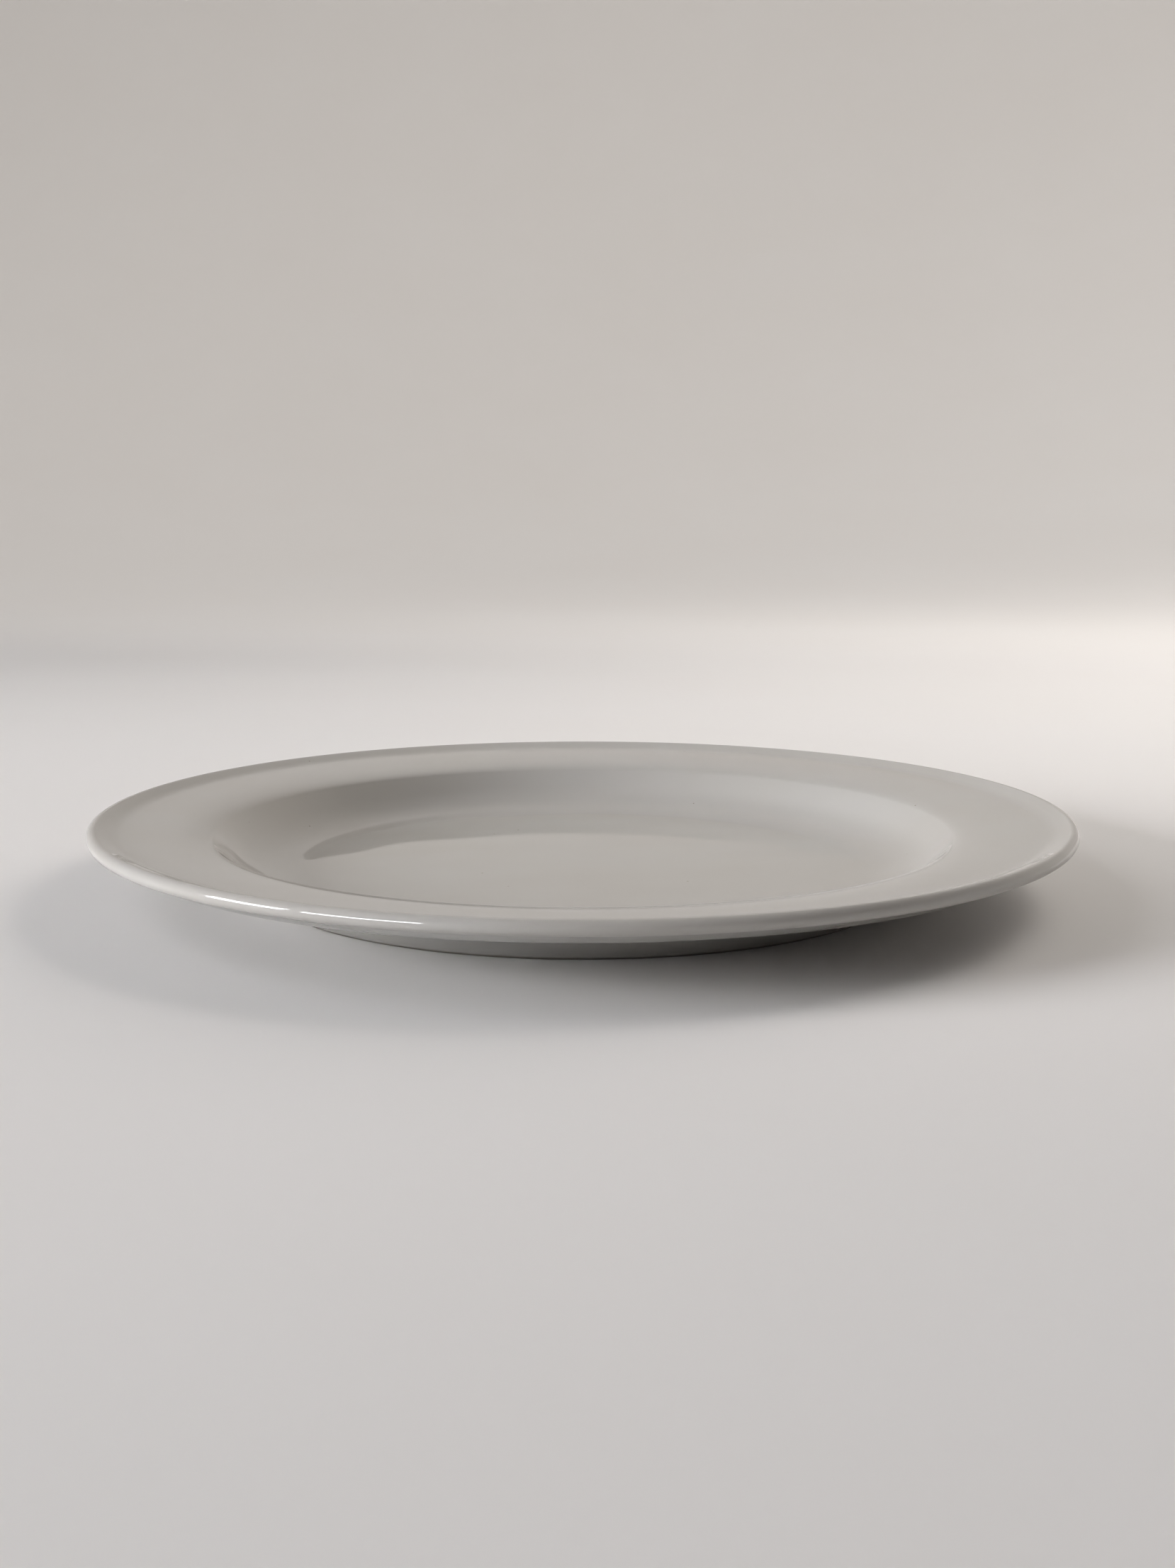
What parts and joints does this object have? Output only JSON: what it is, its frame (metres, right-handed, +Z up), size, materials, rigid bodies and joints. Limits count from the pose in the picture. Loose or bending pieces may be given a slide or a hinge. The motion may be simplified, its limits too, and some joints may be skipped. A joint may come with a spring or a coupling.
{
  "type": "dinner plate",
  "caption": "Round glazed porcelain dinner plate: wide, gently sloping rim with a rounded shoulder, thick rolled edge with a slightly raised lip, flat well and a plain foot ring.",
  "frame": {"origin": "centre of the foot ring, on the surface that the plate stands on", "axes": "+Z up along the plate's axis; +X to the right and +Y away from the viewer as in the picture"},
  "size_m": [0.27, 0.27, 0.0206],
  "materials": {
    "porcelain": "clear gloss glaze over warm pale grey porcelain, unglazed on the foot"
  },
  "bodies": {
    "root": {"plate": "porcelain"}
  },
  "joints": []
}
